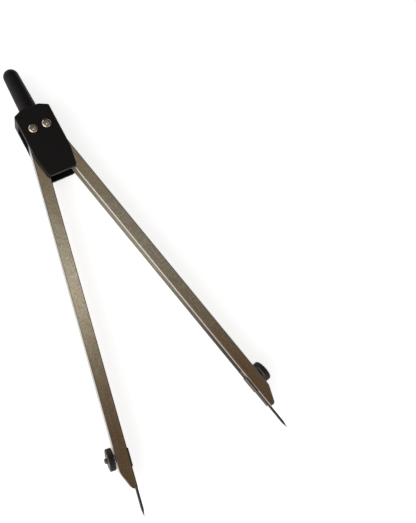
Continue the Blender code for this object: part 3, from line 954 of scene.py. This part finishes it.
def channelShape(side, settings):
    low, high = measureInLeg(side, "leg_channel")
    solid = flangeBlock(low, high, settings)

    def isBend(edge):
        # where a flange meets a wall that faces outwards, up to where that wall turns round the ear
        walls = [face.normal for face in edge.link_faces if abs(face.normal.z) < 0.5]
        if rise(edge) >= mergeDistance or len(walls) != 1:
            return False
        return walls[0].x > settings["bendOutward"] and walls[0].y < settings["bendBack"]

    rounded(solid, sharpEdges(solid, isBend), settings["bend"], settings["bendSegments"])
    pinLow, pinHigh = measureInLeg(side, "hinge_pin")
    pinPlace = Matrix.Translation(((pinLow.x + pinHigh.x) / 2, (pinLow.y + pinHigh.y) / 2, 0))
    screwPlace = Matrix.Translation((high.x, screwDistance(side), 0)) @ zOutwards
    steps = settings["steps"]
    hollow = carved(solid, [
        ("DIFFERENCE", channelCavity(low, high, settings)),
        ("DIFFERENCE", edgeWedge(low, high, settings, 1)),
        ("DIFFERENCE", edgeWedge(low, high, settings, -1)),
        ("DIFFERENCE", rod(settings["pivotHole"], 2 * high.z, Matrix(), steps)),
        ("DIFFERENCE", rod(settings["pinHole"], 2 * high.z, pinPlace, steps)),
        ("DIFFERENCE", rod(settings["screwHole"], 2 * settings["sheet"], screwPlace, steps)),
    ])
    edges = sharpEdges(flattened(hollow), degrees=settings["deburrDegrees"])
    return rounded(hollow, edges, settings["deburr"], settings["deburrSegments"])


pinSettings = {"rounding": 0.00008, "steps": 40}


def pinShape(side, settings):
    low, high = measureInLeg(side, "hinge_pin")
    radius = (high.x - low.x) / 2
    corners = [
        (0, high.z, 0),
        (radius, high.z, settings["rounding"]),
        (radius, low.z, settings["rounding"]),
        (0, low.z, 0),
    ]
    shape = turned(corners, settings["steps"])
    return moved(shape, Matrix.Translation(((low.x + high.x) / 2, (low.y + high.y) / 2, 0)))


# Needle, block and clamp

needleSettings = {
    "point": 0.0026,
    "shoulder": 0.0005,
    "backRounding": 0.25,
    "segments": 6,
    "groove": 0.00055,
    "steps": 40,
}


def needleShape(side, settings):
    low, high = measureInLeg(side, "needle")
    radius = (high.x - low.x) / 2
    corners = [
        (0, -low.y, 0),
        (radius, -low.y - settings["point"], settings["shoulder"]),
        (radius, -high.y, radius * settings["backRounding"]),
        (0, -high.y, 0),
    ]
    shape = turned(corners, settings["steps"], segments=settings["segments"])
    return moved(shape, Matrix.Translation(((low.x + high.x) / 2, 0, 0)) @ zToPoint)


def grooveCutter(side, settings, start, end):
    # a rod a little thicker than the needle, in the needle's place
    low, high = measureInLeg(side, "needle")
    place = Matrix.Translation(((low.x + high.x) / 2, (start + end) / 2, 0)) @ zToPoint
    return rod(settings["groove"], abs(end - start) / 2, place, settings["steps"])


blockSettings = {
    "rim": 0.00015,
    "rimSegments": 3,
    "screwHole": 0.0011,
    "steps": 40,
}


def blockShape(side, settings):
    low, high = measureInLeg(side, "needle_block")
    block = box(low, high)
    rounded(block, block.edges[:], settings["rim"], settings["rimSegments"])
    hole = rod(settings["screwHole"], high.x * 2, acrossPlace(side), settings["steps"])
    groove = grooveCutter(side, needleSettings, screwDistance(side), low.y - high.x)
    return carved(block, [("DIFFERENCE", hole), ("DIFFERENCE", groove)])


clampSettings = {
    "plateThickness": 0.00075,
    "plateRim": 0.00014,
    "rimSegments": 3,
    "screwRadius": 0.0010,
    "crown": 0.0005,
    "threadPitch": 0.0004,
    "threadDepth": 0.00012,
    "threadSharpness": 2.6,
    "ringsPerTurn": 10,
    "steps": 40,
}


def threadShape(start, end, settings):
    # a shank along Z with a helical thread, rounded at its far end
    radius, crown, pitch = settings["screwRadius"], settings["crown"], settings["threadPitch"]
    corners = [(radius, start, 0), (0, start, 0)]
    shape = turned(corners, settings["steps"], dome=(radius, end - crown, crown))
    long = [edge for edge in shape.edges if rise(edge) > pitch]
    cuts = int((end - start) / pitch * settings["ringsPerTurn"])
    bmesh.ops.subdivide_edges(shape, edges=long, cuts=cuts, use_grid_fill=True)

    def groove(turn, height):
        if height >= end - crown:
            return 0.0
        phase = (height / pitch - turn) % 1
        return max(0.0, 1 - abs(phase - 0.5) * settings["threadSharpness"])

    return cutIn(shape, radius, settings["threadDepth"], groove)


def clampShape(side, settings):
    # a plate behind the needle and the threaded screw that draws it outwards
    low, high = measureInLeg(side, "clamp_screw")
    face = low.x + settings["plateThickness"]
    body = box(low, Vector((face, high.y, high.z)))
    rounded(body, body.edges[:], settings["plateRim"], settings["rimSegments"])
    thread = threadShape(low.x + settings["plateThickness"] / 2, high.x, settings)
    back = screwDistance(side) - settings["screwRadius"]
    groove = grooveCutter(side, needleSettings, back, low.y - high.x)
    return carved(body, [("DIFFERENCE", groove), ("UNION", moved(thread, acrossPlace(side)))])


nutSettings = {
    "ridges": 40,
    "ridgeDepth": 0.00018,
    "stepsPerRidge": 8,
    "chamfer": 0.0003,
    "faceRim": 0.0009,
    "faceRimRounding": 0.00005,
    "faceSink": 0.00018,
    "faceSinkRounding": 0.0001,
    "segments": 3,
    "hole": 0.00105,
    "countersink": 0.0002,
}


def nutShape(side, settings):
    low, high = measure(side + "_knurled_nut", legPlace(side) @ acrossPlace(side))
    outer = (high.y - low.y) / 2
    chamfer = settings["chamfer"]
    ring = outer - settings["faceRim"]
    face = high.z - settings["faceSink"]
    hole, countersink = settings["hole"], settings["countersink"]
    corners = [
        (outer - chamfer, high.z, 0),
        (outer, high.z - chamfer, 0),
        (outer, low.z + chamfer, 0),
        (outer - chamfer, low.z, 0),
        (hole + countersink, low.z, 0),
        (hole, low.z + countersink, 0),
        (hole, face - countersink, 0),
        (hole + countersink, face, 0),
        (ring - settings["faceSink"], face, settings["faceSinkRounding"]),
        (ring, high.z, settings["faceRimRounding"]),
    ]
    steps = settings["ridges"] * settings["stepsPerRidge"]
    shape = turned(corners, steps, closed=True, segments=settings["segments"])

    def valley(turn, height):
        return 1 - abs(math.cos(math.pi * (turn * settings["ridges"])))

    return cutIn(shape, outer, settings["ridgeDepth"], valley)


def piece(name, shape, body, look, node, sharpDegrees=35):
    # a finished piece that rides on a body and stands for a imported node
    thing = asObject(name, cleaned(shape))
    thing.data.shade_smooth()
    thing.data.set_sharp_from_angle(angle=math.radians(sharpDegrees))
    weighted = thing.modifiers.new("evenShading", "WEIGHTED_NORMAL")
    weighted.keep_sharp = True
    thing.data.materials.append(looks[look])
    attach(thing, body)
    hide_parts(node)


print("Compass: building the head, rivets and washers")
piece("headAndHandle", headShape(headSettings), "head", "blackPlastic", "head_yoke")
for side in sides:
    pivot = Matrix.Translation((pivotPlace(side).x, pivotPlace(side).y, 0))
    rivet = moved(rivetShape(side, rivetSettings), pivot)
    piece(side + "Rivet", rivet, "head", "rivetNickel", side + "_pivot_rivet")
    for face in ("front", "rear"):
        node = side + "_" + face + "_friction_washer"
        washer = moved(ringShape(node, pivot, washerSettings), pivot)
        piece(side + face.title() + "Washer", washer, "head", "washerNylon", node)

print("Compass: building the legs")
for side in sides:
    place = legPlace(side)
    across = place @ acrossPlace(side)
    leg = side + "_leg"
    channel = moved(channelShape(side, channelSettings), place)
    piece(side + "Channel", channel, leg, side + "Nickel", side + "_leg_channel",
          sharpDegrees=25)
    pin = moved(pinShape(side, pinSettings), place)
    piece(side + "HingePin", pin, leg, "brightSteel", side + "_hinge_pin")
    block = moved(blockShape(side, blockSettings), place)
    piece(side + "NeedleBlock", block, leg, "milledSteel", side + "_needle_block")
    bush = moved(ringShape(side + "_clamp_bush", across, bushSettings), across)
    piece(side + "ClampBush", bush, leg, "brightSteel", side + "_clamp_bush")
    clamp = moved(clampShape(side, clampSettings), place)
    piece(side + "ClampScrew", clamp, side + "_clamp", "darkSteel",
          side + "_clamp_screw")
    nut = moved(nutShape(side, nutSettings), across)
    piece(side + "Nut", nut, side + "_nut", "blackenedSteel", side + "_knurled_nut",
          sharpDegrees=30)
    needle = moved(needleShape(side, needleSettings), place)
    piece(side + "Needle", needle, side + "_needle_point", "needleSteel",
          side + "_needle")
    frame["nodes"][side + "_toothed_hinge"].material_slots[0].material = looks["stampedBrass"]


# Floor, light and camera

studioSettings = {
    "floorSize": 3.0,
    "floorDrop": 0.0001,
    "floorWhite": (0.86, 0.86, 0.86, 1),
    "floorGlow": 0.72,
    "horizon": (1.0, 1.0, 1.0, 1),
    "ceiling": (0.19, 0.185, 0.18, 1),
    "horizonTop": 0.34,
    "ceilingStart": 0.56,
    "cards": {
        "rightCard": ((0.42, -0.35, 0.03), (0.43, 0.45, 0.46)),
        "backCard": ((-0.05, 0.47, 0.03), (0.42, 0.48, 0.40)),
    },
    "cardGrey": (0.05, 0.045, 0.04, 1),
    "matt": {"Roughness": 0.9, "Specular IOR Level": 0.0},
}

lampSettings = {
    "windowSide": {
        "place": (-0.72, -0.28, 0.46), "aim": (0, -0.06, 0), "size": (1.10, 0.90),
        "watts": 4.2, "color": (0.98, 0.99, 1.0),
    },
    "overhead": {
        "place": (0.015, 0.008, 0.45), "aim": (0.015, 0.008, 0), "size": (0.09, 0.09),
        "watts": 0.029, "color": (1.0, 0.99, 0.96),
    },
    "overheadRight": {
        "place": (0.20, 0.0, 0.50), "aim": (0.02, -0.05, 0), "size": (0.34, 0.50),
        "watts": 0.045, "color": (1.0, 0.99, 0.96),
    },
}

cameraSettings = {
    "place": (-0.04756, -0.09198, 0.24367),
    "forward": (0.31959, 0.08321, -0.94389),
    "up": (0.42774, 0.87620, 0.22207),
    "lens": 46.53,
    "sensor": 36,
    "nearest": 0.01,
    "farthest": 20,
}


def addFloor(settings):
    # white to the camera and to what mirrors it, and it keeps the object's shadow
    shape = bmesh.new()
    bmesh.ops.create_grid(shape, x_segments=1, y_segments=1, size=settings["floorSize"] / 2)
    bmesh.ops.translate(shape, vec=(0, 0, -settings["floorDrop"]), verts=shape.verts)
    floor = asObject("whiteFloor", shape)
    values = {"Base Color": settings["floorWhite"], "Emission Color": (1, 1, 1, 1), **settings["matt"]}
    material, tree, shader = newMaterial("whiteFloor", values)
    path = tree.nodes.new("ShaderNodeLightPath")
    seen = combine(tree, "MAXIMUM", path.outputs["Is Camera Ray"], path.outputs["Is Glossy Ray"])
    seen = combine(tree, "MAXIMUM", seen, path.outputs["Is Transmission Ray"])
    glow = combine(tree, "MULTIPLY", seen, settings["floorGlow"])
    tree.links.new(glow, shader.inputs["Emission Strength"])
    floor.data.materials.append(material)


def addCards(settings):
    # dark cards beside the object, which the bright metal mirrors and the camera doesn't see
    material = newMaterial("cardGrey", {"Base Color": settings["cardGrey"], **settings["matt"]})[0]
    for name, (low, high) in settings["cards"].items():
        card = asObject(name, box(Vector(low), Vector(high)))
        card.data.materials.append(material)
        card.visible_camera = False
        card.visible_shadow = False


def addWorld(settings):
    # white near the horizon and grey overhead
    world = bpy.data.worlds.new("studio")
    scene.world = world
    world.use_nodes = True
    tree = world.node_tree
    direction = tree.nodes.new("ShaderNodeTexCoord").outputs["Generated"]
    height = shaderNode(tree, "ShaderNodeSeparateXYZ", {0: direction}).outputs["Z"]
    upwards = shaderNode(tree, "ShaderNodeMapRange", {
        "Value": height, "From Min": settings["horizonTop"], "From Max": settings["ceilingStart"],
    }, interpolation_type="SMOOTHSTEP")
    color = blended(tree, upwards.outputs["Result"], settings["horizon"], settings["ceiling"])
    tree.links.new(color, tree.nodes["Background"].inputs["Color"])


def addLamp(name, settings):
    data = bpy.data.lights.new(name, "AREA")
    data.shape = "RECTANGLE"
    data.size, data.size_y = settings["size"]
    data.energy = settings["watts"]
    data.color = settings["color"]
    lamp = bpy.data.objects.new(name, data)
    lamp.location = settings["place"]
    toAim = Vector(settings["aim"]) - lamp.location
    lamp.rotation_euler = toAim.to_track_quat("-Z", "Y").to_euler()
    lamp.visible_camera = False
    scene.collection.objects.link(lamp)


def addCamera(settings):
    data = bpy.data.cameras.new("photoView")
    data.sensor_width = settings["sensor"]
    data.lens = settings["lens"]
    data.clip_start = settings["nearest"]
    data.clip_end = settings["farthest"]
    forward = Vector(settings["forward"]).normalized()
    right = forward.cross(Vector(settings["up"])).normalized()
    turn = Matrix((right, right.cross(forward), -forward)).transposed()
    camera = bpy.data.objects.new("photoView", data)
    camera.matrix_world = Matrix.Translation(settings["place"]) @ turn.to_4x4()
    scene.collection.objects.link(camera)
    scene.camera = camera


print("Compass: setting up the floor, lights and camera")
addFloor(studioSettings)
addCards(studioSettings)
addWorld(studioSettings)
for name, settings in lampSettings.items():
    addLamp(name, settings)
addCamera(cameraSettings)
scene.view_settings.view_transform = "Standard"
